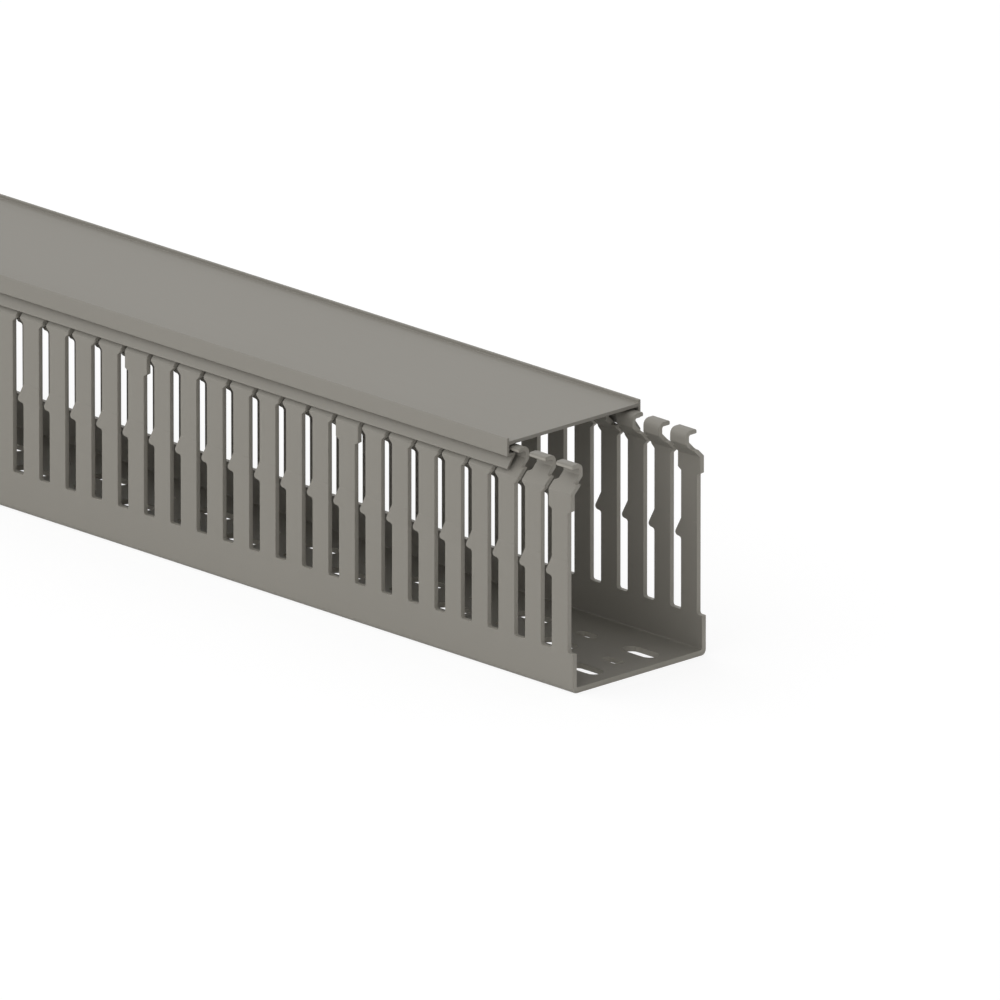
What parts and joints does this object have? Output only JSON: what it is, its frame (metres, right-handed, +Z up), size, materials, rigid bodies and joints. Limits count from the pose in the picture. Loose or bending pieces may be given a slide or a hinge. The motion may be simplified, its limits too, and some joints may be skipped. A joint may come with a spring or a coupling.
{
  "type": "slotted wiring duct with cover",
  "caption": "Slotted U-shaped wiring duct with hooked fingers and a flat cover slid back at one end.",
  "frame": {"origin": "middle of the underside of the duct's base, half way along the duct body", "axes": "+X along the duct towards the end where the cover is set back, +Z up from the base to the cover, +Y across"},
  "size_m": [0.5308, 0.06, 0.08],
  "materials": {
    "duct_pvc": "matte extruded PVC",
    "cover_pvc": "matte extruded PVC"
  },
  "bodies": {
    "duct": {"duct_body": "duct_pvc"},
    "cover": {"snap_cover": "cover_pvc"}
  },
  "joints": [
    {"name": "cover_slide", "type": "slide", "parent": "duct", "child": "cover", "axis": [1, 0, 0], "range_m": [-0.1, 0.03075]}
  ]
}
